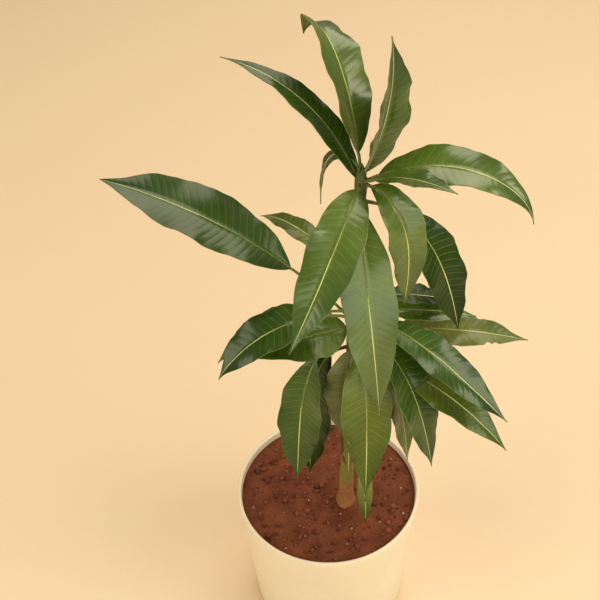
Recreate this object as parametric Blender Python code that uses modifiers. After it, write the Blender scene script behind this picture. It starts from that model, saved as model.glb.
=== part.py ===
"""Young mango tree in its round pot: one flushed crown, one lower whorl of leaves, one stem.

Metres, +Z up. The origin is the middle of the pot's flat underside, +X runs to the right
of the pot's front and +Y to its back.
"""
import math
import random

import bpy
import bmesh
from mathutils import Vector

LEAF_SEED = 8
SOIL_SEED = 21

GAP = 0.0003

POT_HEIGHT = 0.188
POT_RIM_RADIUS = 0.1055
POT_FOOT_RADIUS = 0.0895
POT_WALL = 0.0040
POT_FLOOR = 0.006
POT_FOOT_ROUND = 0.007
POT_RIM_ROUND = 0.0019
POT_STEPS = 56

SOIL_TOP = 0.181
SOIL_LUMP = 0.0026
SOIL_BUMPS = 46
SOIL_RINGS = 14
SOIL_STEPS = 50
SOIL_PAD = 0.017
SOIL_EDGE = 0.008

FOOT_X = 0.0192
FOOT_Y = -0.014
TRUNK_FOOT = SOIL_TOP + GAP
TRUNK_TIP = 0.600
LEAN_PER_METRE = 0.0282
STEM_TIP = 0.668
FOOT_RADIUS = 0.0118
COLLAR_RADIUS = 0.0092
LOW_RADIUS = 0.0078
NODE_HEIGHT = 0.468
NODE_RADIUS = 0.0072
TIP_RADIUS = 0.0052
BUD_RADIUS = 0.0022
TRUNK_SIDES = 14

LEAF_STEPS = 10
LEAF_ACROSS = 4
LEAF_MIN_THICK = 0.0015
LEAF_THICK_SHARE = 0.0105
LEAF_TIP_WIDTH = 0.0022
LEAF_WIDEST = 0.42
LEAF_FULLNESS = 0.75
LEAF_DRIP_START = 0.78
LEAF_DRIP = 0.50
LEAF_FOLD = 12.0
LEAF_WAVE = 0.0018
LEAF_WAVES = 3.5
LEAF_BROAD = 0.040
SPINE_STEPS = 120
STALK_SIDES = 6
STALK_STEPS = 6
STALK_ROOT_RADIUS = 0.0027
STALK_RADIUS = 0.0017
MIDRIB_REACH = 0.30
KNUCKLE_RADIUS = 0.0031
STALK_SINK = 0.002
SCRAP_VOLUME = 0.00000002


class Leaf:
    """One leaf on its stalk, told by angles in degrees and lengths in millimetres.

    height: where the stalk leaves the stem, metres above the pot's underside
    heading: 0 is +X, 90 is the back of the pot
    rise and droop: slope at the root, and how far it has turned down by the tip
    bend: positive turns down early, negative turns down late
    sweep: turn of the heading by the tip; curl: extra turn near the tip
    roll and twist: tilt about the midrib, and how it grows along the leaf
    """

    def __init__(self, mass, height, heading, rise, droop, stalk, blade, width, bend=0.01,
                 sweep=0.0, curl=0.0, roll=0.0, twist=0.0, fold=LEAF_FOLD, widest=LEAF_WIDEST):
        self.mass = mass
        self.height = height
        self.heading = heading
        self.rise = rise
        self.droop = droop
        self.stalk = stalk / 1000.0
        self.blade = blade / 1000.0
        self.width = width / 1000.0
        self.bend = bend
        self.sweep = sweep
        self.curl = curl
        self.roll = roll
        self.twist = twist
        self.fold = fold
        self.widest = widest

    def length(self):
        return self.stalk + self.blade


CROWN = "foliage_crown"
LEFT = "foliage_lower_left"
FRONT = "foliage_lower_front"
RIGHT = "foliage_lower_right"
BACK = "foliage_lower_back"

LEAVES = (
    Leaf(CROWN, 0.656, 128, 88, 178, 10, 112, 12, bend=3.2, roll=60),
    Leaf(CROWN, 0.645, 135, 66, 60, 10, 168, 30, bend=0.3, sweep=26, widest=0.4),
    Leaf(CROWN, 0.654, 104, 76, 60, 26, 170, 48, sweep=12, roll=-30, fold=24, curl=-96,
         widest=0.45),
    Leaf(CROWN, 0.654, 25, 60, -38, 8, 136, 54, roll=-117, fold=24, widest=0.36),
    Leaf(CROWN, 0.650, -20, 44, 77, 20, 166, 44, curl=-48, roll=-12, widest=0.38),
    Leaf(CROWN, 0.651, -48, 43, 36, 12, 110, 30, roll=4),
    Leaf(CROWN, 0.648, -38, 42, 138, 12, 146, 40, bend=4, roll=-8, twist=-26, widest=0.4),
    Leaf(CROWN, 0.630, -10, 6, 86, 40, 158, 46, bend=3.2, roll=-20, twist=-34),
    Leaf(CROWN, 0.650, -104, 20, 66, 12, 167, 46, bend=2.5, sweep=-28, roll=16),
    Leaf(CROWN, 0.640, -94, -5, 77, 20, 208, 50, bend=3, sweep=35),
    Leaf(LEFT, 0.475, 166, 51, 41, 88, 202, 66, roll=8, widest=0.46),
    Leaf(LEFT, 0.518, 128, 35, 70, 40, 118, 26),
    Leaf(LEFT, 0.480, -160, 38, 98, 35, 131, 44, roll=12),
    Leaf(LEFT, 0.490, -172, 17, 71, 40, 116, 34, roll=10),
    Leaf(LEFT, 0.470, -160, 8, 15, 8, 122, 54, roll=22, widest=0.3),
    Leaf(LEFT, 0.460, -150, 50, 137, 54, 178, 46, bend=6.5, roll=10, twist=50),
    Leaf(LEFT, 0.440, 176, 5, 93, 26, 204, 50, bend=8, roll=60),
    Leaf(FRONT, 0.450, -106, 4, 84, 12, 106, 42, bend=5.5),
    Leaf(FRONT, 0.455, -74, 0, 86, 20, 190, 52, bend=4.5, sweep=-30, widest=0.32),
    Leaf(FRONT, 0.385, -68, -40, 45, 12, 185, 18, bend=6, widest=0.8),
    Leaf(FRONT, 0.405, -98, -20, 66, 12, 132, 13, bend=6),
    Leaf(FRONT, 0.465, -44, 40, 118, 32, 162, 46, bend=3.6),
    Leaf(FRONT, 0.445, -38, 14, 98, 30, 140, 36, bend=4),
    Leaf(FRONT, 0.440, -30, 4, 51, 35, 156, 40, roll=-12),
    Leaf(RIGHT, 0.480, -30, 35, 73, 32, 158, 39, bend=4, roll=-12),
    Leaf(RIGHT, 0.455, -4, 18, 40, 40, 136, 38, curl=8, roll=-14),
    Leaf(RIGHT, 0.505, 5, 12, 40, 30, 70, 28),
    Leaf(RIGHT, 0.488, 0, 8, 26, 30, 92, 30, roll=-8),
    Leaf(RIGHT, 0.478, 44, 28, 98, 30, 135, 36, bend=2),
    Leaf(BACK, 0.500, 78, 30, 110, 24, 130, 36, bend=2),
    Leaf(BACK, 0.485, 112, 25, 100, 24, 125, 34, bend=2),
)


def material(name, colour, roughness):
    made = bpy.data.materials.new(name)
    made.use_nodes = True
    shader = made.node_tree.nodes["Principled BSDF"]
    shader.inputs["Base Color"].default_value = (*colour, 1.0)
    shader.inputs["Roughness"].default_value = roughness
    return made


def new_object(name, mesh, collection):
    made = bpy.data.objects.new(name, mesh)
    collection.objects.link(made)
    return made


def applied(item):
    """Bake the modifiers of an object into its mesh."""
    graph = bpy.context.evaluated_depsgraph_get()
    baked = bpy.data.meshes.new_from_object(item.evaluated_get(graph))
    item.modifiers.clear()
    old = item.data
    item.data = baked
    bpy.data.meshes.remove(old)
    return item


def outward(mesh):
    work = bmesh.new()
    work.from_mesh(mesh)
    bmesh.ops.remove_doubles(work, verts=work.verts, dist=0.00001)
    bmesh.ops.dissolve_degenerate(work, edges=work.edges, dist=0.00001)
    bmesh.ops.recalc_face_normals(work, faces=work.faces)
    work.to_mesh(mesh)
    work.free()


def smooth(item):
    for face in item.data.polygons:
        face.use_smooth = True


def turned(name, profile, steps, collection):
    """Turn a closed run of (radius, height) points about the Z axis."""
    mesh = bpy.data.meshes.new(name)
    work = bmesh.new()
    ring = [work.verts.new((radius, 0.0, height)) for radius, height in profile]
    for near, far in zip(ring, ring[1:]):
        work.edges.new((near, far))
    work.to_mesh(mesh)
    work.free()
    made = new_object(name, mesh, collection)
    screw = made.modifiers.new("turn", "SCREW")
    screw.steps = steps
    screw.render_steps = steps
    screw.use_merge_vertices = True
    screw.merge_threshold = 0.00005
    applied(made)
    outward(made.data)
    smooth(made)
    return made


def tube(name, points, radii, sides, collection):
    """A capped round bar along points, as a closed mesh."""
    curve = bpy.data.curves.new(name, "CURVE")
    curve.dimensions = "3D"
    curve.bevel_depth = 1.0
    curve.bevel_resolution = max(0, sides // 2 - 2)
    curve.use_fill_caps = True
    line = curve.splines.new("POLY")
    line.points.add(len(points) - 1)
    for knot, point, radius in zip(line.points, points, radii):
        knot.co = (*point, 1.0)
        knot.radius = radius
    bent = new_object(name + "_line", curve, collection)
    graph = bpy.context.evaluated_depsgraph_get()
    mesh = bpy.data.meshes.new_from_object(bent.evaluated_get(graph))
    made = new_object(name, mesh, collection)
    made.matrix_world = bent.matrix_world.copy()
    bpy.data.objects.remove(bent)
    outward(made.data)
    smooth(made)
    return made


def stem_point(height):
    """The middle line of the trunk, which leans a little to the right."""
    return Vector((FOOT_X + (height - SOIL_TOP) * LEAN_PER_METRE, FOOT_Y, height))


def stem_radius(height):
    """True taper: a root flare, a slow taper, and a swelling at the lower whorl."""
    above = max(0.0, height - TRUNK_FOOT)
    share = min(1.0, above / (TRUNK_TIP - TRUNK_FOOT))
    body = LOW_RADIUS + (TIP_RADIUS - LOW_RADIUS) * share
    flare = (COLLAR_RADIUS - LOW_RADIUS) * math.exp(-above / 0.035)
    toe = (FOOT_RADIUS - COLLAR_RADIUS) * math.exp(-above / 0.006)
    whorl = (NODE_RADIUS - LOW_RADIUS * 0.78) * math.exp(-((height - NODE_HEIGHT) / 0.035) ** 2)
    return body + flare + toe + max(0.0, whorl)


def spine(leaf):
    """Points, directions and headings along stalk and midrib, from the middle of the stem."""
    length = leaf.length()
    directions = []
    headings = []
    for step in range(SPINE_STEPS + 1):
        share = step / SPINE_STEPS
        turned_by = (1.0 - math.exp(-leaf.bend * share)) / (1.0 - math.exp(-leaf.bend))
        slope = math.radians(leaf.rise - leaf.droop * turned_by + leaf.curl * share ** 4)
        heading = math.radians(leaf.heading + leaf.sweep * share)
        directions.append(Vector((math.cos(slope) * math.cos(heading),
                                  math.cos(slope) * math.sin(heading), math.sin(slope))))
        headings.append(heading)
    points = [stem_point(leaf.height)]
    for near, far in zip(directions, directions[1:]):
        points.append(points[-1] + (near + far) * (0.5 * length / SPINE_STEPS))
    return points, directions, headings


def frame_at(leaf, line, share):
    """Place, side and face directions at a share of the whole leaf's length."""
    points, directions, headings = line
    place = min(max(share, 0.0), 1.0) * SPINE_STEPS
    low = min(int(place), SPINE_STEPS - 1)
    rest = place - low
    point = points[low].lerp(points[low + 1], rest)
    along = directions[low].lerp(directions[low + 1], rest).normalized()
    heading = headings[low] + (headings[low + 1] - headings[low]) * rest
    side = Vector((math.sin(heading), -math.cos(heading), 0.0))
    face = side.cross(along)
    roll = math.radians(leaf.roll + leaf.twist * share)
    return (point, side * math.cos(roll) + face * math.sin(roll),
            face * math.cos(roll) - side * math.sin(roll))


def half_width(leaf, share):
    """Lance shape: sharp at the stalk, widest before the middle, drawn out to a drip tip."""
    share = min(max(share, 0.0001), 0.9999)
    tip_power = LEAF_FULLNESS * (1.0 - leaf.widest) / leaf.widest
    shape = (share / leaf.widest) ** LEAF_FULLNESS
    shape *= ((1.0 - share) / (1.0 - leaf.widest)) ** tip_power
    drip = max(share - LEAF_DRIP_START, 0.0) / (1.0 - LEAF_DRIP_START)
    shape *= 1.0 - LEAF_DRIP * drip * drip * (3.0 - 2.0 * drip)
    return max(0.5 * leaf.width * shape, 0.5 * LEAF_TIP_WIDTH)


def blade_point(leaf, line, phase, share, across):
    """A point of the blade, at a share along it and from -1 to 1 across it."""
    start = leaf.stalk / leaf.length()
    point, side, face = frame_at(leaf, line, start + (1.0 - start) * share)
    half = half_width(leaf, share)
    reach = abs(across)
    lift = reach * half * math.tan(math.radians(leaf.fold)) * (1.0 - 0.35 * reach)
    turn = LEAF_WAVES * share + phase + (0.23 if across > 0 else 0.0)
    wave = LEAF_WAVE * reach * reach * math.sin(2.0 * math.pi * turn)
    wave *= half / (0.5 * leaf.width) * min(1.0, leaf.width / LEAF_BROAD)
    return point + side * (across * half) + face * (lift + wave)


def blade(name, leaf, line, phase, collection):
    """The blade as a bent grid with a real thickness."""
    mesh = bpy.data.meshes.new(name)
    work = bmesh.new()
    bmesh.ops.create_grid(work, x_segments=LEAF_STEPS, y_segments=LEAF_ACROSS, size=1.0)
    for vert in work.verts:
        share = (vert.co.x + 1.0) * 0.5
        vert.co = blade_point(leaf, line, phase, share, vert.co.y)
    work.to_mesh(mesh)
    work.free()
    made = new_object(name, mesh, collection)
    thick = made.modifiers.new("thick", "SOLIDIFY")
    thick.thickness = max(LEAF_MIN_THICK, leaf.length() * LEAF_THICK_SHARE)
    thick.offset = 0.0
    applied(made)
    outward(made.data)
    return made


def stalk(name, leaf, line, collection):
    """The stalk from beside the stem, running on a little way under the blade."""
    length = leaf.length()
    root = STALK_SINK / length
    if leaf.mass != CROWN:
        root = (stem_radius(leaf.height) + GAP + 0.0012) / length
    foot = leaf.stalk / length
    tip = foot + (1.0 - foot) * MIDRIB_REACH
    count = STALK_STEPS
    points = []
    radii = []
    for step in range(count + 1):
        share = root + (tip - root) * step / count
        point, _, _ = frame_at(leaf, line, share)
        points.append(point)
        swell = math.exp(-(share - root) * length / 0.006)
        taper = STALK_RADIUS * (1.0 - 0.45 * step / count)
        radii.append(taper + (STALK_ROOT_RADIUS - STALK_RADIUS) * swell)
    return tube(name, points, radii, STALK_SIDES, collection)


def knuckle(name, leaves, collection):
    """A short stem close beside the trunk that passes every stalk's root in turn."""
    points = []
    order = sorted(leaves, key=lambda leaf: leaf.height)
    stations = [(leaf.height, leaf.heading % 360.0) for leaf in order]
    if max(turn for _, turn in stations) - min(turn for _, turn in stations) > 180.0:
        stations = [(height, turn - 360.0 if turn > 180.0 else turn) for height, turn in stations]
    first = stations[0]
    last = stations[-1]
    stations = [(first[0] - 0.006, first[1])] + stations + [(last[0] + 0.006, last[1])]
    for low, high in zip(stations, stations[1:]):
        steps = max(1, int(abs(high[1] - low[1]) / 14.0))
        for step in range(steps):
            share = step / steps
            points.append((low[0] + (high[0] - low[0]) * share, low[1] + (high[1] - low[1]) * share))
    points.append(last if len(stations) == 2 else stations[-1])
    line = []
    for height, turn in points:
        out = stem_radius(height) + GAP + KNUCKLE_RADIUS * 0.86
        angle = math.radians(turn)
        line.append(stem_point(height) + Vector((math.cos(angle), math.sin(angle), 0.0)) * out)
    return tube(name, line, [KNUCKLE_RADIUS] * len(line), 8, collection)


def crown_stem(name, collection):
    """The green end of the shoot, from just above the trunk's tip to its bud."""
    heights = (TRUNK_TIP + GAP, 0.612, 0.628, 0.642, 0.654, 0.661, STEM_TIP)
    radii = (TIP_RADIUS, 0.0051, 0.0052, 0.0058, 0.0060, 0.0046, BUD_RADIUS)
    return tube(name, [stem_point(height) for height in heights], radii, TRUNK_SIDES, collection)


def trunk_bar(name, extra, collection):
    heights = [TRUNK_FOOT, TRUNK_FOOT + 0.003, TRUNK_FOOT + 0.008, TRUNK_FOOT + 0.018,
               TRUNK_FOOT + 0.035, 0.25, 0.30, 0.36, 0.40, 0.43, 0.452, 0.468, 0.484, 0.506,
               0.54, TRUNK_TIP]
    points = [stem_point(height) for height in heights]
    points[0].x = points[1].x
    return tube(name, points, [stem_radius(height) + extra for height in heights],
                TRUNK_SIDES, collection)


def fuse(target, scraps, name):
    """One union of everything in a collection with the target, then the pieces go."""
    join = target.modifiers.new("join", "BOOLEAN")
    join.operation = "UNION"
    join.operand_type = "COLLECTION"
    join.collection = scraps
    join.solver = "MANIFOLD"
    applied(target)
    for piece in list(scraps.objects):
        bpy.data.objects.remove(piece)
    target.name = name


def cut(target, tool):
    away = target.modifiers.new("clear", "BOOLEAN")
    away.operation = "DIFFERENCE"
    away.object = tool
    away.solver = "MANIFOLD"
    applied(target)


def keep_largest(mesh):
    """Drop loose scraps and fill sealed hollows: only the largest closed skin stays."""
    work = bmesh.new()
    work.from_mesh(mesh)
    bmesh.ops.remove_doubles(work, verts=work.verts, dist=0.0000005)
    bmesh.ops.dissolve_degenerate(work, edges=work.edges, dist=0.0000005)
    bmesh.ops.triangulate(work, faces=work.faces)
    unseen = set(work.faces)
    shells = []
    while unseen:
        seed = unseen.pop()
        shell = [seed]
        stack = [seed]
        while stack:
            face = stack.pop()
            for edge in face.edges:
                if len(edge.link_faces) != 2:
                    continue
                for other in edge.link_faces:
                    if other in unseen:
                        unseen.remove(other)
                        shell.append(other)
                        stack.append(other)
        volume = 0.0
        for face in shell:
            a, b, c = (vert.co for vert in face.verts)
            volume += a.dot(b.cross(c)) / 6.0
        shells.append((abs(volume), shell))
    shells.sort(key=lambda pair: pair[0], reverse=True)
    for volume, shell in shells[1:]:
        if volume > SCRAP_VOLUME:
            raise ValueError(f"a leaf came loose, {volume * 1e9:.0f} mm3")
        bmesh.ops.delete(work, geom=shell, context="FACES")
    bmesh.ops.recalc_face_normals(work, faces=work.faces)
    work.to_mesh(mesh)
    work.free()


def pot(collection):
    inner_foot = POT_FOOT_RADIUS - POT_WALL
    slope = (POT_RIM_RADIUS - POT_FOOT_RADIUS) / POT_HEIGHT
    profile = [(0.0, 0.0), (POT_FOOT_RADIUS - POT_FOOT_ROUND, 0.0)]
    for step in range(1, 6):
        angle = math.radians(-90.0 + 90.0 * step / 5)
        profile.append((POT_FOOT_RADIUS - POT_FOOT_ROUND + POT_FOOT_ROUND * math.cos(angle)
                        + slope * POT_FOOT_ROUND * step / 5,
                        POT_FOOT_ROUND + POT_FOOT_ROUND * math.sin(angle)))
    middle = POT_RIM_RADIUS - POT_RIM_ROUND
    for step in range(0, 7):
        angle = math.radians(180.0 * step / 6)
        inner = (POT_WALL - 2.0 * POT_RIM_ROUND) * (step / 6)
        profile.append((middle + POT_RIM_ROUND * math.cos(angle) - inner,
                        POT_HEIGHT - POT_RIM_ROUND + POT_RIM_ROUND * math.sin(angle)))
    profile.append((inner_foot + slope * (POT_FLOOR + 0.006), POT_FLOOR + 0.006))
    profile.append((inner_foot - 0.005, POT_FLOOR))
    profile.append((0.0, POT_FLOOR))
    return turned("pot", profile, POT_STEPS, collection)


def lump_height(x, y, bumps):
    total = 0.0
    for centre_x, centre_y, size, height in bumps:
        reach = ((x - centre_x) ** 2 + (y - centre_y) ** 2) / (size * size)
        total += height * math.exp(-reach)
    return total


def soil(collection):
    """The filling, with a lumpy top that is flat under the trunk and low at the wall."""
    slope = (POT_RIM_RADIUS - POT_FOOT_RADIUS) / POT_HEIGHT
    wall = POT_FOOT_RADIUS - POT_WALL - GAP
    top_radius = wall + slope * SOIL_TOP
    profile = [(0.0, POT_FLOOR + GAP), (wall - 0.0055, POT_FLOOR + GAP),
               (wall + slope * (POT_FLOOR + 0.006) - 0.0004, POT_FLOOR + GAP + 0.0066),
               (top_radius, SOIL_TOP - 0.002)]
    for step in range(1, SOIL_RINGS):
        profile.append((top_radius * (1.0 - step / SOIL_RINGS) - 0.0001, SOIL_TOP))
    profile.append((0.0, SOIL_TOP))
    made = turned("soil", profile, SOIL_STEPS, collection)
    chance = random.Random(SOIL_SEED)
    bumps = []
    for _ in range(SOIL_BUMPS):
        angle = chance.uniform(0.0, 2.0 * math.pi)
        radius = top_radius * math.sqrt(chance.random())
        bumps.append((radius * math.cos(angle), radius * math.sin(angle),
                      chance.uniform(0.008, 0.017), chance.uniform(-0.7, 1.0) * SOIL_LUMP))
    for vert in made.data.vertices:
        if vert.co.z < SOIL_TOP - 0.0001:
            continue
        lift = lump_height(vert.co.x, vert.co.y, bumps)
        clear = math.hypot(vert.co.x - FOOT_X, vert.co.y - FOOT_Y) - SOIL_PAD
        lift *= min(1.0, max(0.0, clear / SOIL_EDGE))
        edge = top_radius - math.hypot(vert.co.x, vert.co.y)
        lift *= min(1.0, max(0.0, edge / SOIL_EDGE))
        if clear < 0.0:
            lift = 0.0
        vert.co.z = SOIL_TOP + lift
    return made


def foliage(name, collection, scraps, core, chance):
    leaves = [leaf for leaf in LEAVES if leaf.mass == name]
    if name == CROWN:
        body = crown_stem(name, collection)
    else:
        body = knuckle(name, leaves, collection)
    for number, leaf in enumerate(leaves):
        line = spine(leaf)
        phase = chance.random()
        blade(f"blade_{number}", leaf, line, phase, scraps)
        stalk(f"stalk_{number}", leaf, line, scraps)
    fuse(body, scraps, name)
    cut(body, core)
    keep_largest(body.data)
    smooth(body)
    return body


def build():
    for item in list(bpy.data.objects):
        bpy.data.objects.remove(item)
    scene = bpy.context.scene
    collection = bpy.data.collections.new("potted_mango_sapling")
    scene.collection.children.link(collection)
    tools = bpy.data.collections.new("cutters")
    scene.collection.children.link(tools)
    scraps = bpy.data.collections.new("pieces")
    scene.collection.children.link(scraps)

    chance = random.Random(LEAF_SEED)
    cream = material("pot_cream", (0.80, 0.74, 0.62), 0.45)
    earth = material("soil_red", (0.16, 0.07, 0.045), 0.95)
    bark = material("bark_brown", (0.22, 0.15, 0.08), 0.8)
    green = material("leaf_green", (0.08, 0.15, 0.05), 0.4)

    pot(collection).data.materials.append(cream)
    soil(collection).data.materials.append(earth)
    trunk_bar("trunk", 0.0, collection).data.materials.append(bark)
    core = trunk_bar("core", GAP, tools)
    core.hide_render = True
    core.display_type = "WIRE"
    for name in (CROWN, LEFT, FRONT, RIGHT, BACK):
        made = foliage(name, collection, scraps, core, chance)
        made.data.materials.clear()
        made.data.materials.append(green)
    bpy.data.objects.remove(core)
    bpy.data.collections.remove(tools)
    bpy.data.collections.remove(scraps)


build()
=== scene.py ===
"""A young mango tree in its cream pot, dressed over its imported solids.

Metres, +Z up. The origin is the middle of the pot's flat underside, +X is to the right of
the pot's front and +Y is its back.
"""

import math
import random

import bmesh
import bpy
from bpy.props import FloatProperty, FloatVectorProperty, IntProperty
from bpy.types import Operator, Panel, PropertyGroup
from mathutils import Matrix, Vector, noise


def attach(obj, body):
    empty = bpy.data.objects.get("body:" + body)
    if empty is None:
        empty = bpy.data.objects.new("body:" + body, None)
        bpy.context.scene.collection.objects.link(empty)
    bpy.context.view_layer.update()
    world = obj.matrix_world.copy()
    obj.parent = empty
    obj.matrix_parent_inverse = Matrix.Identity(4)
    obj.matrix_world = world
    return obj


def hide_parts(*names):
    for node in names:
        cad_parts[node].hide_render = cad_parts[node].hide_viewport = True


bl_info = {
    "name": "Potted Mango Sapling",
    "version": (1, 0, 0),
    "blender": (4, 5, 0),
    "location": "View3D > Sidebar > Mango",
    "description": "Builds a young mango tree with its leaves, stem, soil and pot",
    "category": "Add Mesh",
}

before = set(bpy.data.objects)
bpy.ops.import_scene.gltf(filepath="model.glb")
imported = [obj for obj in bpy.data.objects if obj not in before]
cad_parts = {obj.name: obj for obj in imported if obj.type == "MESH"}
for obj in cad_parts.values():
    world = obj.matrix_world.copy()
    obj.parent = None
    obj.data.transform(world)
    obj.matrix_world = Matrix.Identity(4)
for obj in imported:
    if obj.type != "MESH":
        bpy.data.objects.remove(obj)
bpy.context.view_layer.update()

CROWN = "foliage_crown"
LEFT = "foliage_lower_left"
FRONT = "foliage_lower_front"
RIGHT = "foliage_lower_right"
BACK = "foliage_lower_back"

MASSES = (CROWN, LEFT, FRONT, RIGHT, BACK)

# The stem, from its foot on the soil to the tip of its green shoot
SOIL_TOP = 0.181
FOOT_X = 0.0192
FOOT_Y = -0.014
TRUNK_FOOT = 0.1813
TRUNK_TIP = 0.600
STEM_TIP = 0.668
STEM_GAP = 0.0003
LEAN_PER_METRE = 0.0282
FOOT_RADIUS = 0.0118
COLLAR_RADIUS = 0.0092
LOW_RADIUS = 0.0078
TIP_RADIUS = 0.0052
FLARE_HEIGHT = 0.035
TOE_HEIGHT = 0.006
NODE_HEIGHT = 0.468
NODE_RADIUS = 0.0072
NODE_SPREAD = 0.035
NODE_BODY = 0.78
WHORL_HEIGHT = 0.650
WHORL_SPREAD = 0.010
WHORL_SWELL = 0.0008
SHOOT_CLOSE = 0.655
BARK_ROWS = 300
BARK_SIDES = 56
SHOOT_ROWS = 60
SHOOT_SIDES = 40

# Tops of the bark's bands with their slots, and the slot of the green bark above
BARK_BANDS = ((0.222, 0), (0.262, 3), (0.42, 1))
GREEN_BARK = 2

# Scars of shed leaves, in a spiral
SCAR_LOW = 0.262
SCAR_HIGH = 0.375
SCAR_STEP = 0.0085
SCAR_TURN = 137.5
SCAR_ARC = 38.0
SCAR_BOW = 0.0014
SCAR_RADIUS = 0.00055

# Buds at the tip of the shoot
BUD_TURNS = (70.0, 190.0, 310.0)
BUD_FOOT = 0.656
BUD_LENGTH = 0.017
BUD_OUT = 0.0030
BUD_RADIUS = 0.0017

# The leaf's outline, by the same rule as the solids
SPINE_STEPS = 160
LEAF_FOLD = 12.0
LEAF_WIDEST = 0.42
LEAF_FULLNESS = 0.75
LEAF_DRIP_START = 0.78
LEAF_DRIP = 0.50
LEAF_SEED = 8

# The blade's fine form: strips across, rows along, and how far each stands up
MIDRIB_HALF = 0.00075
MIDRIB_RISE = 0.0005
MIDRIB_SINK = 0.0001
EDGE_STRIP = 0.0005
BLADE_STRIPS = (0.16, 0.34, 0.52, 0.70, 0.86)
VEIN_HALF = 0.0002
VEIN_ROWS = (0.18, 0.5, 0.82)
VEIN_SLANT = 0.08
QUILTED = (0.02, 0.95)
FOLD_EASE = 0.35
WAVE_DEPTH = 0.0018
RIPPLE_DEPTH = 0.0004
BILLOW_DEPTH = 0.0007
UNEVEN_SHARE = 0.03
BITE_SPAN = 0.0032
BROAD_LEAF = 0.040
# Where the painted shade toward a leaf's tip begins
TIP_SHADE_START = 0.30

# Waves along a blade: turns, share of the leaf's phase, and how far apart its two halves are
EDGE_WAVE = (3.5, 1.0, 0.23)
EDGE_RIPPLE = (11.0, 2.0, 0.0)
BILLOW = (2.3, 4.0, 0.35)
UNEVEN = (4.3, 3.0, 0.4)
# CLOUD lays the clouds of painted shade along a blade's edge
CLOUD = (1.7, 5.0, 0.3)

# Material slots of a blade's upper face; the underside has as many again
MIDRIB_SLOT = 1
VEIN_SLOT = 2
EDGE_SLOT = 3
UPPER_SLOTS = 4

# The stalk, and the rib that runs on from it under the blade
STALK_STEPS = 44
STALK_SIDES = 10
STALK_SUNK = 0.55
STALK_RADIUS = 0.0014
STALK_SWELL = 0.0011
STALK_SWELL_RUN = 0.006
STALK_ROOT_RUN = 0.009
RIB_END = 0.90
RIB_RADIUS = 0.0013
RIB_TIP_RADIUS = 0.00015

# The pot's foot, rim and floor
POT_HOLLOW = 0.0012
POT_RING = (0.070, 0.0725)
POT_ROUND = 0.007
POT_RIM = 0.0019
POT_NECK = 0.012
POT_FLOOR = 0.006
POT_STEPS = 160

# The soil and what lies on it
SOIL_SEED = 21
SOIL_BUMPS = 46
SOIL_PAD = 0.017
SOIL_EDGE = 0.008
SOIL_FLOOR = 0.120
SOIL_TAPER = 0.0045
SOIL_RINGS = 96
SOIL_STEPS = 320
CRUMB_SEED = 34
CRUMB_CLEAR = 0.0135
CRUMB_LEAST = 0.0007
CRUMB_SPREAD = 0.0026
CRUMB_SHARES = (30, 42, 22, 6)
GRIT = 3
GRIT_MOST = 0.0013

# Lights: name, place, size in metres, power in watts, colour
LIGHTS = (
    ("window_light", (0.55, 1.45, 2.35), 2.2, 29.0, (1.0, 0.90, 0.74)),
    ("side_light", (1.75, -0.62, 1.85), 1.5, 21.0, (1.0, 0.91, 0.76)),
    ("room_light", (0.95, -1.9, 0.9), 2.8, 25.0, (0.93, 0.94, 0.86)),
    ("fill_light", (-1.8, -0.8, 1.3), 2.0, 21.0, (1.0, 0.91, 0.76)),
)
LIGHT_AIM = (0.0, 0.0, 0.45)
CAMERA_PLACE = (-0.0253, -0.8448, 1.3231)
CAMERA_TILT = 44.44
CAMERA_LEAN = 2.0


def length_prop(name, description, default):
    return FloatProperty(name=name, description=description, default=default, unit="LENGTH",
                         min=0.0)


def colour_prop(name, description, default):
    return FloatVectorProperty(name=name, description=description, default=default, size=3,
                               subtype="COLOR", min=0.0, max=1.0)


class PotSettings(PropertyGroup):
    rim_radius: length_prop("Rim radius", "Outer radius at the rim", 0.1055)
    foot_radius: length_prop("Foot radius", "Outer radius at the foot", 0.0895)
    height: length_prop("Height", "Height of the pot", 0.188)
    wall: length_prop("Wall", "Thickness of the wall", 0.0040)
    colour: colour_prop("Colour", "Cream of the pot", (0.80, 0.71, 0.54))


class SoilSettings(PropertyGroup):
    radius: length_prop("Radius", "Radius of the soil's top", 0.1006)
    lump: length_prop("Lump height", "Height of the largest lumps", 0.0026)
    crumbs: IntProperty(name="Crumbs", description="How many loose crumbs lie on top",
                        default=640, min=0)
    colour: colour_prop("Colour", "Red-brown of moist earth", (0.250, 0.086, 0.042))


class StemSettings(PropertyGroup):
    relief: length_prop("Bark relief", "Depth of the bark's furrows", 0.0004)
    colour: colour_prop("Bark colour", "Brown of the bark", (0.20, 0.10, 0.045))
    green: colour_prop("Shoot colour", "Green of the young shoot", (0.10, 0.13, 0.03))


class LeafSettings(PropertyGroup):
    thickness: length_prop("Blade thickness", "Thickness of a leaf's blade", 0.0007)
    vein_step: length_prop("Vein step", "Distance between side veins", 0.0076)
    quilt: length_prop("Quilting", "How far the blade stands up between veins", 0.00020)
    vein_colour: colour_prop("Vein colour", "Pale green of the midribs", (0.62, 0.66, 0.25))


class StageSettings(PropertyGroup):
    floor_colour: colour_prop("Floor colour", "Pale floor", (0.84, 0.68, 0.49))
    lens: FloatProperty(name="Lens", description="Focal length on a 36 mm sensor",
                        default=72.0, min=10.0)


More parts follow.
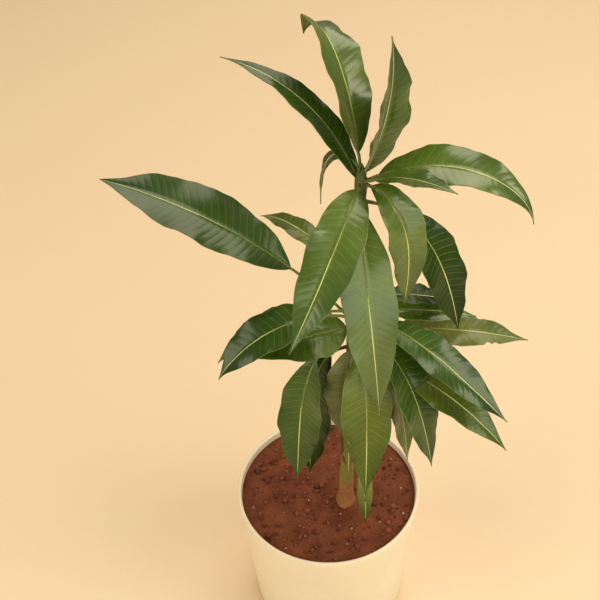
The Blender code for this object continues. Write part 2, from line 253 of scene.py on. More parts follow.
class Leaf:
    """One leaf on its stalk, told by angles in degrees and lengths in millimetres.

    height: where the stalk leaves the stem, metres above the pot's underside
    heading: 0 is +X, 90 is the back of the pot
    rise and droop: slope at the root, and how far it has turned down by the tip
    bend: positive turns down early, negative turns down late
    sweep: turn of the heading by the tip; curl: extra turn near the tip
    roll and twist: tilt about the midrib, and how it grows along the leaf
    tone: which of the leaf greens it has
    bites: nicks in the edge, each a share of the blade, a side of 1 or -1, and a depth as a
    share of the half width
    """

    def __init__(self, mass, tone, height, heading, rise, droop, stalk, blade, width,
                 bend=0.01, sweep=0.0, curl=0.0, roll=0.0, twist=0.0, fold=LEAF_FOLD,
                 widest=LEAF_WIDEST, bites=()):
        self.mass = mass
        self.tone = tone
        self.height = height
        self.heading = heading
        self.rise = rise
        self.droop = droop
        self.stalk = stalk / 1000.0
        self.blade = blade / 1000.0
        self.width = width / 1000.0
        self.bend = bend
        self.sweep = sweep
        self.curl = curl
        self.roll = roll
        self.twist = twist
        self.fold = fold
        self.widest = widest
        self.bites = bites

    def length(self):
        return self.stalk + self.blade


LEAVES = (
    Leaf(CROWN, "deep", 0.656, 128, 88, 178, 10, 112, 12, bend=3.2, roll=60),
    Leaf(CROWN, "mid", 0.645, 135, 66, 60, 10, 168, 30, bend=0.3, sweep=26, widest=0.4),
    Leaf(CROWN, "fresh", 0.654, 104, 76, 60, 26, 170, 48, sweep=12, roll=-30, fold=24, curl=-96,
         widest=0.45),
    Leaf(CROWN, "mid", 0.654, 25, 60, -38, 8, 136, 54, roll=-117, fold=24, widest=0.36),
    Leaf(CROWN, "fresh", 0.650, -20, 44, 77, 20, 166, 44, curl=-48, roll=-12, widest=0.38),
    Leaf(CROWN, "fresh", 0.651, -48, 43, 36, 12, 110, 30, roll=4),
    Leaf(CROWN, "fresh", 0.648, -38, 42, 138, 12, 146, 40, bend=4, roll=-8, twist=-26,
         widest=0.4),
    Leaf(CROWN, "deep", 0.630, -10, 6, 86, 40, 158, 46, bend=3.2, roll=-20, twist=-34),
    Leaf(CROWN, "fresh", 0.650, -104, 20, 66, 12, 167, 46, bend=2.5, sweep=-28, roll=16),
    Leaf(CROWN, "fresh", 0.640, -94, -5, 77, 20, 208, 50, bend=3, sweep=35),
    Leaf(LEFT, "mid", 0.475, 166, 51, 41, 88, 202, 66, roll=8, widest=0.46),
    Leaf(LEFT, "olive", 0.518, 128, 35, 70, 40, 118, 26),
    Leaf(LEFT, "mid", 0.480, -160, 38, 98, 35, 131, 44, roll=12),
    Leaf(LEFT, "mid", 0.490, -172, 17, 71, 40, 116, 34, roll=10),
    Leaf(LEFT, "fresh", 0.470, -160, 8, 15, 8, 122, 54, roll=22, widest=0.3),
    Leaf(LEFT, "mid", 0.460, -150, 50, 137, 54, 178, 46, bend=6.5, roll=10, twist=50),
    Leaf(LEFT, "deep", 0.440, 176, 5, 93, 26, 204, 50, bend=8, roll=60),
    # This leaf's pale green is partly its own light olive and partly painted light that lifts it
    # out of the crown's shade
    Leaf(FRONT, "pale", 0.450, -106, 4, 84, 12, 106, 42, bend=5.5),
    Leaf(FRONT, "olive", 0.455, -74, 0, 86, 20, 190, 52, bend=4.5, sweep=-30, widest=0.32,
         bites=((0.44, 1, 0.16), (0.58, 1, 0.22), (0.71, -1, 0.20))),
    Leaf(FRONT, "young", 0.385, -68, -40, 45, 12, 185, 18, bend=6, widest=0.8),
    Leaf(FRONT, "young", 0.405, -98, -20, 66, 12, 132, 13, bend=6),
    Leaf(FRONT, "mid", 0.465, -44, 40, 118, 32, 162, 46, bend=3.6),
    Leaf(FRONT, "olive", 0.445, -38, 14, 98, 30, 140, 36, bend=4),
    Leaf(FRONT, "olive", 0.440, -30, 4, 51, 35, 156, 40, roll=-12),
    Leaf(RIGHT, "mid", 0.480, -30, 35, 73, 32, 158, 39, bend=4, roll=-12),
    Leaf(RIGHT, "pale", 0.455, -4, 18, 40, 40, 136, 38, curl=8, roll=-14,
         bites=((0.36, -1, 0.24), (0.41, -1, 0.14), (0.62, 1, 0.26), (0.68, 1, 0.18),
                (0.55, -1, 0.10))),
    Leaf(RIGHT, "deep", 0.505, 5, 12, 40, 30, 70, 28),
    Leaf(RIGHT, "fresh", 0.488, 0, 8, 26, 30, 92, 30, roll=-8),
    Leaf(RIGHT, "deep", 0.478, 44, 28, 98, 30, 135, 36, bend=2),
    Leaf(BACK, "mid", 0.500, 78, 30, 110, 24, 130, 36, bend=2),
    Leaf(BACK, "deep", 0.485, 112, 25, 100, 24, 125, 34, bend=2),
)

# The leaf greens: two base colours that are mottled together, and how strongly the face shines
TONES = {
    # deep is partly the leaves' own dark green and partly painted shade, for leaves that sit in
    # shade behind and under the others
    "deep": ((0.020, 0.054, 0.003), (0.032, 0.074, 0.005), 0.24),
    "mid": ((0.034, 0.090, 0.005), (0.060, 0.122, 0.008), 0.50),
    "fresh": ((0.086, 0.154, 0.014), (0.136, 0.204, 0.024), 0.75),
    "olive": ((0.104, 0.150, 0.014), (0.144, 0.190, 0.024), 0.35),
    "pale": ((0.200, 0.220, 0.060), (0.250, 0.260, 0.085), 0.40),
    "young": ((0.195, 0.215, 0.040), (0.240, 0.250, 0.055), 0.40),
}
UNDER = ((0.085, 0.110, 0.028), (0.105, 0.130, 0.036))


def stem_point(height):
    """The middle line of the trunk, which leans a little to the right."""
    return Vector((FOOT_X + (height - SOIL_TOP) * LEAN_PER_METRE, FOOT_Y, height))


def stem_radius(height):
    """True taper: a root flare, a slow taper, and a swelling at the lower whorl."""
    above = max(0.0, height - TRUNK_FOOT)
    share = min(1.0, above / (TRUNK_TIP - TRUNK_FOOT))
    body = LOW_RADIUS + (TIP_RADIUS - LOW_RADIUS) * share
    flare = (COLLAR_RADIUS - LOW_RADIUS) * math.exp(-above / FLARE_HEIGHT)
    toe = (FOOT_RADIUS - COLLAR_RADIUS) * math.exp(-above / TOE_HEIGHT)
    whorl = (NODE_RADIUS - LOW_RADIUS * NODE_BODY) * math.exp(
        -((height - NODE_HEIGHT) / NODE_SPREAD) ** 2)
    return body + flare + toe + max(0.0, whorl)


def spine(leaf):
    """Points, directions and headings along stalk and midrib, from the middle of the stem."""
    length = leaf.length()
    directions = []
    headings = []
    for step in range(SPINE_STEPS + 1):
        share = step / SPINE_STEPS
        turned_by = (1.0 - math.exp(-leaf.bend * share)) / (1.0 - math.exp(-leaf.bend))
        slope = math.radians(leaf.rise - leaf.droop * turned_by + leaf.curl * share ** 4)
        heading = math.radians(leaf.heading + leaf.sweep * share)
        directions.append(Vector((math.cos(slope) * math.cos(heading),
                                  math.cos(slope) * math.sin(heading), math.sin(slope))))
        headings.append(heading)
    points = [stem_point(leaf.height)]
    for near, far in zip(directions, directions[1:]):
        points.append(points[-1] + (near + far) * (0.5 * length / SPINE_STEPS))
    return points, directions, headings


def frame_at(leaf, line, share):
    """Place, side and face directions at a share of the whole leaf's length."""
    points, directions, headings = line
    place = min(max(share, 0.0), 1.0) * SPINE_STEPS
    low = min(int(place), SPINE_STEPS - 1)
    rest = place - low
    point = points[low].lerp(points[low + 1], rest)
    along = directions[low].lerp(directions[low + 1], rest).normalized()
    heading = headings[low] + (headings[low + 1] - headings[low]) * rest
    side = Vector((math.sin(heading), -math.cos(heading), 0.0))
    face = side.cross(along)
    roll = math.radians(leaf.roll + leaf.twist * share)
    return (point, side * math.cos(roll) + face * math.sin(roll),
            face * math.cos(roll) - side * math.sin(roll), along)


def half_width(leaf, share):
    """Lance shape: sharp at the stalk, widest before the middle, drawn out to a drip tip."""
    share = min(max(share, 0.0001), 0.9999)
    tip_power = LEAF_FULLNESS * (1.0 - leaf.widest) / leaf.widest
    shape = (share / leaf.widest) ** LEAF_FULLNESS
    shape *= ((1.0 - share) / (1.0 - leaf.widest)) ** tip_power
    drip = max(share - LEAF_DRIP_START, 0.0) / (1.0 - LEAF_DRIP_START)
    shape *= 1.0 - LEAF_DRIP * drip * drip * (3.0 - 2.0 * drip)
    return max(0.5 * leaf.width * shape, 0.0004)


def bitten(leaf, share, across):
    """How much of the half width a nick takes away from the edge."""
    taken = 0.0
    for place, side, depth in leaf.bites:
        off = (share - place) * leaf.blade / BITE_SPAN
        if side * across > 0.0 and abs(off) < 1.0:
            taken = max(taken, depth * math.sqrt(1.0 - off * off))
    return taken


def new_piece(name, work, materials, smooth=True):
    mesh = bpy.data.meshes.new(name)
    work.to_mesh(mesh)
    work.free()
    for made in materials:
        mesh.materials.append(made)
    if smooth:
        for face in mesh.polygons:
            face.use_smooth = True
    piece = bpy.data.objects.new(name, mesh)
    bpy.context.scene.collection.objects.link(piece)
    return piece


def bake(piece):
    """Apply a piece's modifiers to its mesh."""
    graph = bpy.context.evaluated_depsgraph_get()
    mesh = bpy.data.meshes.new_from_object(piece.evaluated_get(graph))
    old = piece.data
    piece.modifiers.clear()
    piece.data = mesh
    bpy.data.meshes.remove(old)
    return piece


def joined(name, pieces):
    """Join pieces into one, with their materials merged."""
    bpy.ops.object.select_all(action="DESELECT")
    for piece in pieces:
        piece.select_set(True)
    bpy.context.view_layer.objects.active = pieces[0]
    bpy.ops.object.join()
    piece = bpy.context.view_layer.objects.active
    piece.name = name
    piece.data.name = name
    return piece


def group_tree(name, inputs, outputs):
    tree = bpy.data.node_groups.new(name, "ShaderNodeTree")
    for label, kind, value in inputs:
        socket = tree.interface.new_socket(name=label, in_out="INPUT", socket_type=kind)
        socket.default_value = value
    for label, kind in outputs:
        tree.interface.new_socket(name=label, in_out="OUTPUT", socket_type=kind)
    return tree, tree.nodes.new("NodeGroupInput"), tree.nodes.new("NodeGroupOutput")


def colour_mix(tree, share, near, far):
    """Output of a node that mixes two colours by a share."""
    mix = tree.nodes.new("ShaderNodeMix")
    mix.data_type = "RGBA"
    for socket, source in ((0, share), (6, near), (7, far)):
        tree.links.new(source, mix.inputs[socket])
    return mix.outputs[2]


def mottle_group():
    """Two soft scales of cloudiness, on object coordinates, that mix two colours."""
    if "Mottle" in bpy.data.node_groups:
        return bpy.data.node_groups["Mottle"]
    tree, taken, given = group_tree(
        "Mottle",
        (("Colour", "NodeSocketColor", (0.5, 0.5, 0.5, 1.0)),
         ("Second Colour", "NodeSocketColor", (0.4, 0.4, 0.4, 1.0)),
         ("Scale", "NodeSocketFloat", 40.0),
         ("Fine Scale", "NodeSocketFloat", 400.0),
         ("Fine Share", "NodeSocketFloat", 0.3)),
        (("Colour", "NodeSocketColor"), ("Mask", "NodeSocketFloat"), ("Fine", "NodeSocketFloat")))
    nodes = tree.nodes
    links = tree.links
    place = nodes.new("ShaderNodeTexCoord")
    broad = nodes.new("ShaderNodeTexNoise")
    fine = nodes.new("ShaderNodeTexNoise")
    broad.inputs["Detail"].default_value = 3.0
    fine.inputs["Detail"].default_value = 4.0
    for cloud, scale in ((broad, "Scale"), (fine, "Fine Scale")):
        links.new(place.outputs["Object"], cloud.inputs["Vector"])
        links.new(taken.outputs[scale], cloud.inputs["Scale"])
    blend = nodes.new("ShaderNodeMix")
    blend.data_type = "FLOAT"
    links.new(taken.outputs["Fine Share"], blend.inputs[0])
    links.new(broad.outputs["Fac"], blend.inputs[2])
    links.new(fine.outputs["Fac"], blend.inputs[3])
    sharpen = nodes.new("ShaderNodeMapRange")
    sharpen.inputs["From Min"].default_value = 0.32
    sharpen.inputs["From Max"].default_value = 0.68
    links.new(blend.outputs[0], sharpen.inputs["Value"])
    mixed = colour_mix(tree, sharpen.outputs["Result"], taken.outputs["Colour"],
                       taken.outputs["Second Colour"])
    links.new(mixed, given.inputs["Colour"])
    links.new(sharpen.outputs["Result"], given.inputs["Mask"])
    links.new(fine.outputs["Fac"], given.inputs["Fine"])
    return tree


def painted_shade_group():
    """Painted shade: mixes a colour toward a darker one by the mesh's own shade attribute."""
    if "Leaf Painted Shade" in bpy.data.node_groups:
        return bpy.data.node_groups["Leaf Painted Shade"]
    tree, taken, given = group_tree(
        "Leaf Painted Shade",
        (("Colour", "NodeSocketColor", (0.1, 0.2, 0.02, 1.0)),
         ("Painted Shade Colour", "NodeSocketColor", (0.03, 0.08, 0.01, 1.0))),
        (("Colour", "NodeSocketColor"),))
    place = tree.nodes.new("ShaderNodeAttribute")
    place.attribute_name = "shade"
    mixed = colour_mix(tree, place.outputs["Fac"], taken.outputs["Colour"],
                       taken.outputs["Painted Shade Colour"])
    tree.links.new(mixed, given.inputs["Colour"])
    return tree


def finish_material(name, first, second, scale=40.0, fine_scale=400.0, fine_share=0.3,
                    rough=(0.4, 0.5), bump=0.0, bump_depth=0.0003, coat=0.0, coat_rough=0.3,
                    specular=0.5, deep=None):
    """A Principled finish whose colour, roughness and fine relief are mottled; a deep colour adds
    painted shade.
    """
    if name in bpy.data.materials:
        return bpy.data.materials[name]
    made = bpy.data.materials.new(name)
    made.use_nodes = True
    nodes = made.node_tree.nodes
    links = made.node_tree.links
    shader = nodes["Principled BSDF"]
    cloud = nodes.new("ShaderNodeGroup")
    cloud.node_tree = mottle_group()
    for label, value in (("Colour", (*first, 1.0)), ("Second Colour", (*second, 1.0)),
                         ("Scale", scale), ("Fine Scale", fine_scale),
                         ("Fine Share", fine_share)):
        cloud.inputs[label].default_value = value
    colour = cloud.outputs["Colour"]
    # Painted shade: darken toward the deep colour by the mesh's shade attribute
    if deep:
        darker = nodes.new("ShaderNodeGroup")
        darker.node_tree = painted_shade_group()
        darker.inputs["Painted Shade Colour"].default_value = (*deep, 1.0)
        links.new(colour, darker.inputs["Colour"])
        colour = darker.outputs["Colour"]
    links.new(colour, shader.inputs["Base Color"])
    spread = nodes.new("ShaderNodeMapRange")
    spread.inputs["To Min"].default_value = rough[0]
    spread.inputs["To Max"].default_value = rough[1]
    links.new(cloud.outputs["Mask"], spread.inputs["Value"])
    links.new(spread.outputs["Result"], shader.inputs["Roughness"])
    if bump > 0.0:
        relief = nodes.new("ShaderNodeBump")
        relief.inputs["Strength"].default_value = bump
        relief.inputs["Distance"].default_value = bump_depth
        links.new(cloud.outputs["Fine"], relief.inputs["Height"])
        links.new(relief.outputs["Normal"], shader.inputs["Normal"])
    for label, value in (("Coat Weight", coat), ("Coat Roughness", coat_rough),
                         ("Specular IOR Level", specular)):
        shader.inputs[label].default_value = value
    made.diffuse_color = (*first, 1.0)
    return made


def lighter(colour, by):
    return tuple(min(1.0, channel * by) for channel in colour)


def leaf_materials(tone, vein):
    """Blade, midrib, vein and edge of the upper face, then the same four of the underside."""
    first, second, shine = TONES[tone]
    pale = tuple(0.75 * a + 0.25 * b for a, b in zip(second, vein))
    faint = tuple(0.86 * a + 0.14 * b for a, b in zip(second, vein))
    # Painted shade: the darker green of blade, veins and edge toward the tip and along the edge
    dark = tuple(channel * by for channel, by in zip(first, (0.42, 0.55, 0.45)))
    gloss = dict(rough=(0.28, 0.38), bump=0.2, bump_depth=0.0002, coat=0.7 * shine,
                 coat_rough=0.20, specular=shine)
    dull = dict(rough=(0.50, 0.62), bump=0.25, bump_depth=0.0002)
    return (
        finish_material(f"leaf_{tone}", first, second, 55.0, 900.0, 0.35, deep=dark, **gloss),
        finish_material("leaf_midrib", vein, lighter(vein, 0.82), 90.0, 900.0, 0.3,
                        rough=(0.38, 0.48)),
        finish_material(f"leaf_{tone}_vein", faint, pale, 120.0, 900.0, 0.3, rough=(0.34, 0.46),
                        coat=0.2, deep=lighter(dark, 1.4)),
        finish_material(f"leaf_{tone}_edge", pale, faint, 120.0, 900.0, 0.3, rough=(0.4, 0.5),
                        deep=lighter(dark, 1.3)),
        finish_material("leaf_under", UNDER[0], UNDER[1], 55.0, 900.0, 0.35, **dull),
        finish_material("leaf_under_midrib", lighter(vein, 0.9), lighter(vein, 0.7), 90.0,
                        900.0, 0.3, rough=(0.45, 0.55)),
        finish_material("leaf_under_vein", lighter(UNDER[1], 1.35), lighter(UNDER[1], 1.2),
                        120.0, 900.0, 0.3, rough=(0.5, 0.6)),
        finish_material("leaf_under_edge", lighter(UNDER[1], 1.2), UNDER[1], 120.0, 900.0, 0.3,
                        rough=(0.5, 0.6)),
    )


def blade_rows(leaf, settings):
    """Shares along the blade: each side vein is a narrow row with three rows between."""
    count = max(6, round(leaf.blade / settings.vein_step))
    half = VEIN_HALF / leaf.blade
    rows = [(0.0, 0.0, False)]
    for step in range(count):
        start = step / count
        if step > 0:
            rows.append((start - half, 0.0, True))
            rows.append((start + half, 0.0, False))
        for part in VEIN_ROWS:
            rows.append((start + part / count, math.sin(math.pi * part) ** 0.8, False))
    rows.append((1.0, 0.0, False))
    return rows


def blade_columns(leaf):
    """Places across the blade from -1 to 1: a midrib in the middle and a thin edge."""
    rib = MIDRIB_HALF / (0.5 * leaf.width)
    edge = 1.0 - EDGE_STRIP / (0.5 * leaf.width)
    outer = [rib + (edge - rib) * share for share in BLADE_STRIPS]
    right = [rib] + outer + [edge, 1.0]
    return [-place for place in reversed(right)] + [0.0] + right


def blade_wave(form, share, phase, across):
    """A sine along the blade that is out of step between its two halves."""
    turns, own, apart = form
    return math.sin(2.0 * math.pi * (turns * share + own * phase + (apart if across > 0 else 0.0)))


def blade_painted_shade(share, reach, cloud):
    """Painted shade: the green darkens toward the tip and in clouds along the edge."""
    tip = min(max((share - TIP_SHADE_START) / (1.0 - TIP_SHADE_START), 0.0), 1.0)
    return tip * (1.0 - 0.3 * reach) + 0.28 * reach * (1.0 + cloud)


def blade_lift(leaf, quilt, half, fullness, share, across, phase):
    """How far the blade stands off its midrib's face: fold, waves, and swells between veins."""
    reach = abs(across)
    fold = reach * half * math.tan(math.radians(leaf.fold)) * (1.0 - FOLD_EASE * reach)
    wave = WAVE_DEPTH * reach * reach * blade_wave(EDGE_WAVE, share, phase, across)
    ripple = RIPPLE_DEPTH * reach ** 3 * blade_wave(EDGE_RIPPLE, share, phase, across)
    billow = BILLOW_DEPTH * math.sin(math.pi * min(1.0, reach * 1.1)) * blade_wave(
        BILLOW, share, phase, across)
    slim = min(1.0, leaf.width / BROAD_LEAF)
    if QUILTED[0] < reach < QUILTED[1]:
        quilt *= math.sin(math.pi * min(1.0, reach * 1.05)) ** 0.6
    else:
        quilt = 0.0
    return fold + (wave + ripple + billow) * fullness * slim + quilt * min(1.0, fullness * 1.5)


def paint_blade(work, spots, rows, columns):
    """Give the faces of the midrib, the side veins and the edge their slots."""
    middle = len(columns) // 2
    last = len(columns) - 2
    for face in work.faces:
        row = min(spots[vert][0] for vert in face.verts)
        column = min(spots[vert][1] for vert in face.verts)
        if column in (middle - 1, middle):
            face.material_index = MIDRIB_SLOT
        elif column in (0, last):
            face.material_index = EDGE_SLOT
        elif rows[row][2] and 1 < column < last - 1:
            face.material_index = VEIN_SLOT


def lay_blade(spots, shade, rows, columns, leaf, line, phase, settings):
    """Move every point of the flat grid to its place over the midrib."""
    middle = len(columns) // 2
    start = leaf.stalk / leaf.length()
    for vert, (row, column) in spots.items():
        along, swell, _ = rows[row]
        across = columns[column]
        reach = abs(across)
        share = along + VEIN_SLANT * reach ** 1.3 * math.sin(math.pi * along)
        point, side, face, _ = frame_at(leaf, line, start + (1.0 - start) * share)
        half = half_width(leaf, share)
        fullness = half / (0.5 * leaf.width)
        # Painted shade, kept on each point for the leaf materials
        vert[shade] = blade_painted_shade(share, reach, blade_wave(CLOUD, share, phase, across))
        half *= 1.0 + UNEVEN_SHARE * reach * blade_wave(UNEVEN, share, phase, across)
        half *= 1.0 - reach * bitten(leaf, along, across)
        rib = 0.0
        if column == middle:
            rib = MIDRIB_RISE * (1.0 - 0.6 * along)
        elif abs(column - middle) == 1:
            rib = -MIDRIB_SINK
            slimmer = reach * (1.3 - along) / max(fullness, 0.25)
            across = math.copysign(min(slimmer, 0.4), across)
        lift = blade_lift(leaf, settings.quilt * swell, half, fullness, share, across, phase)
        vert.co = point + side * (across * half) + face * (lift + rib)


def turn_outward(work, spots, rows, columns, leaf, line):
    """Point the blade's faces to its upper side, tested at the middle of the blade."""
    bmesh.ops.recalc_face_normals(work, faces=work.faces)
    middle = len(columns) // 2
    tested = min(work.faces, key=lambda face: abs(spots[face.verts[0]][0] - len(rows) // 2)
                 + abs(spots[face.verts[0]][1] - middle))
    start = leaf.stalk / leaf.length()
    along = rows[spots[tested.verts[0]][0]][0]
    _, _, outward, _ = frame_at(leaf, line, start + (1.0 - start) * along)
    if tested.normal.dot(outward) < 0.0:
        bmesh.ops.reverse_faces(work, faces=work.faces)


def blade_piece(number, leaf, line, phase, settings):
    """The blade: a grid laid along the midrib, quilted between side veins that slant on."""
    rows = blade_rows(leaf, settings)
    columns = blade_columns(leaf)
    work = bmesh.new()
    bmesh.ops.create_grid(work, x_segments=len(rows) - 1, y_segments=len(columns) - 1, size=0.5)
    shade = work.verts.layers.float.new("shade")
    spots = {vert: (round((vert.co.x + 0.5) * (len(rows) - 1)),
                    round((vert.co.y + 0.5) * (len(columns) - 1))) for vert in work.verts}
    paint_blade(work, spots, rows, columns)
    lay_blade(spots, shade, rows, columns, leaf, line, phase, settings)
    turn_outward(work, spots, rows, columns, leaf, line)
    piece = new_piece(f"blade_{number}", work, leaf_materials(leaf.tone, settings.vein_colour))
    thick = piece.modifiers.new("thick", "SOLIDIFY")
    thick.thickness = settings.thickness
    thick.offset = -1.0
    thick.material_offset = UPPER_SLOTS
    thick.material_offset_rim = EDGE_SLOT
    return bake(piece)


def tube_frames(points):
    """Each point with two directions square to the line, carried along without a twist."""
    frames = []
    for index, point in enumerate(points):
        ahead = points[min(index + 1, len(points) - 1)]
        behind = points[max(index - 1, 0)]
        along = (ahead - behind).normalized()
        if index == 0:
            side = along.orthogonal().normalized()
            if abs(along.z) > 0.9:
                side = Vector((1.0, 0.0, 0.0))
        side = (side - along * side.dot(along)).normalized()
        frames.append((point, side, along.cross(side)))
    return frames


def tube_work(points, radii, sides, relief=None):
    """A closed tube along points: a grid wrapped round the line, with a face on each end."""
    work = bmesh.new()
    bmesh.ops.create_grid(work, x_segments=len(points) - 1, y_segments=sides, size=0.5)
    frames = tube_frames(points)
    for vert in work.verts:
        row = round((vert.co.x + 0.5) * (len(points) - 1))
        turn = 2.0 * math.pi * (vert.co.y + 0.5)
        point, side, other = frames[row]
        outward = side * math.cos(turn) + other * math.sin(turn)
        radius = radii[row]
        if relief is not None:
            radius += relief(point, turn)
        vert.co = point + outward * radius
    bmesh.ops.remove_doubles(work, verts=work.verts, dist=0.00001)
    rims = [edge for edge in work.edges if edge.is_boundary]
    bmesh.ops.holes_fill(work, edges=rims, sides=0)
    bmesh.ops.recalc_face_normals(work, faces=work.faces)
    return work


def stalk_piece(number, leaf, line, materials):
    """The stalk: a swollen root, a slim neck, and the raised rib under the blade."""
    length = leaf.length()
    foot = leaf.stalk / length
    root = stem_radius(leaf.height) * STALK_SUNK / length
    end = foot + (1.0 - foot) * RIB_END
    points = []
    radii = []
    for step in range(STALK_STEPS + 1):
        share = root + (end - root) * (step / STALK_STEPS) ** 1.25
        point, _, face, _ = frame_at(leaf, line, share)
        run = (share - root) * length
        radius = STALK_RADIUS + STALK_SWELL * math.exp(-run / STALK_SWELL_RUN)
        if share > foot:
            beyond = (share - foot) / (1.0 - foot)
            radius = RIB_RADIUS * (1.0 - beyond) ** 0.8 + RIB_TIP_RADIUS
            point = point - face * (0.0003 + 0.35 * radius)
        points.append(point)
        radii.append(radius)
    work = tube_work(points, radii, STALK_SIDES)
    for face in work.faces:
        run = (face.calc_center_median() - points[0]).length
        face.material_index = 1 if run < STALK_ROOT_RUN else 0
    return new_piece(f"stalk_{number}", work, materials)


def declare(piece, slot, *nodes):
    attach(piece, "root")
    if nodes:
        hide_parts(*nodes)


class MANGO_OT_leaves(Operator):
    """Lay every leaf along its bent midrib and join the blades and stalks of each mass"""
    bl_idname = "mango.leaves"
    bl_label = "Leaves and Stalks"

    def execute(self, context):
        settings = context.scene.mango_leaves
        chance = random.Random(LEAF_SEED)
        vein = tuple(settings.vein_colour)
        stalks = (
            finish_material("stalk_green", (0.20, 0.25, 0.055), (0.16, 0.20, 0.045), 80.0,
                            700.0, 0.3, rough=(0.4, 0.5)),
            finish_material("stalk_root", (0.14, 0.12, 0.035), (0.18, 0.15, 0.05), 200.0,
                            900.0, 0.5, rough=(0.5, 0.6), bump=0.4),
        )
        phases = {leaf: chance.random() for mass in MASSES for leaf in LEAVES
                  if leaf.mass == mass}
        for mass in MASSES:
            blades = []
            bars = []
            for number, leaf in enumerate(LEAVES):
                if leaf.mass != mass:
                    continue
                line = spine(leaf)
                blades.append(blade_piece(number, leaf, line, phases[leaf], settings))
                bars.append(stalk_piece(number, leaf, line, stalks))
            short = mass.replace("foliage_", "")
            declare(joined(f"leaves_{short}", blades), "leaf", mass)
            declare(joined(f"stalks_{short}", bars), "leaf", mass)
        return {"FINISHED"}


def spoke(turn):
    """A level direction, from its angle in degrees."""
    angle = math.radians(turn)
    return Vector((math.cos(angle), math.sin(angle), 0.0))


def bark_relief(depth):
    """Furrows that run up the stem, finer and shallower toward the shoot."""
    def relief(point, turn):
        above = max(0.0, point.z - SOIL_TOP)
        old = max(0.0, 1.0 - (point.z - SOIL_TOP) / 0.36)
        around = Vector((math.cos(turn) * 2.2, math.sin(turn) * 2.2, point.z * 55.0))
        coarse = noise.noise(around)
        fine = noise.noise(Vector((math.cos(turn) * 7.0, math.sin(turn) * 7.0, point.z * 160.0)))
        lobes = 0.0011 * math.exp(-above / 0.05) * math.sin(3.0 * turn + 0.7) * math.exp(
            -above / 0.012)
        return depth * (0.25 + 0.75 * old) * (coarse + 0.5 * fine) + lobes
    return relief


def bark_slot(height):
    """Slot of the bark at a height: pale foot, yellow-green, brown, and green above."""
    for top, slot in BARK_BANDS:
        if height < top:
            return slot
    return GREEN_BARK


def trunk_work(depth):
    """The trunk with its bark's relief, and its bands with ragged borders."""
    heights = [TRUNK_FOOT + (TRUNK_TIP - TRUNK_FOOT) * step / BARK_ROWS
               for step in range(BARK_ROWS + 1)]
    work = tube_work([stem_point(height) for height in heights],
                     [stem_radius(height) for height in heights], BARK_SIDES,
                     bark_relief(depth))
    for face in work.faces:
        middle = face.calc_center_median()
        face.material_index = bark_slot(middle.z + noise.noise(middle * 90.0) * 0.03)
    return work


def scar_pieces(materials):
    """Crescent scars of shed leaves, in the spiral order they grew in."""
    pieces = []
    height = SCAR_LOW
    turn = 40.0
    while height < SCAR_HIGH:
        outward = spoke(turn)
        sideways = Vector((-outward.y, outward.x, 0.0))
        points = []
        radii = []
        for step in range(13):
            place = -1.0 + 2.0 * step / 12
            bow = math.radians(SCAR_ARC * place)
            around = outward * math.cos(bow) + sideways * math.sin(bow)
            points.append(stem_point(height) + around * (stem_radius(height) + 0.00005)
                          + Vector((0.0, 0.0, SCAR_BOW * place * place)))
            radii.append(SCAR_RADIUS * (1.0 - place * place) ** 0.5 + 0.00012)
        pieces.append(new_piece("scar", tube_work(points, radii, 8), materials))
        height += SCAR_STEP
        turn += SCAR_TURN
    return pieces


def shoot_work(depth):
    """The green end of the stem, swollen where the upper leaves leave it."""
    foot = TRUNK_TIP + STEM_GAP
    heights = [foot + (STEM_TIP - TRUNK_TIP - STEM_GAP) * step / SHOOT_ROWS
               for step in range(SHOOT_ROWS + 1)]
    radii = []
    for height in heights:
        swell = WHORL_SWELL * math.exp(-((height - WHORL_HEIGHT) / WHORL_SPREAD) ** 2)
        close = max(0.0, (height - SHOOT_CLOSE) / (STEM_TIP - SHOOT_CLOSE))
        radii.append((TIP_RADIUS + swell) * (1.0 - 0.82 * close ** 1.2))
    return tube_work([stem_point(height) for height in heights], radii, SHOOT_SIDES,
                     bark_relief(depth))


def bud_pieces(materials):
    """Three slim scales that close over the tip of the shoot."""
    pieces = []
    for turn in BUD_TURNS:
        points = []
        radii = []
        for step in range(15):
            share = step / 14
            points.append(stem_point(BUD_FOOT + BUD_LENGTH * share) + spoke(turn) * (
                BUD_OUT * math.sin(math.pi * min(1.0, share * 0.75 + 0.25))))
            radii.append(BUD_RADIUS * math.sin(math.pi * (0.18 + 0.80 * share)) + 0.0001)
        pieces.append(new_piece("bud", tube_work(points, radii, 10), materials))
    return pieces


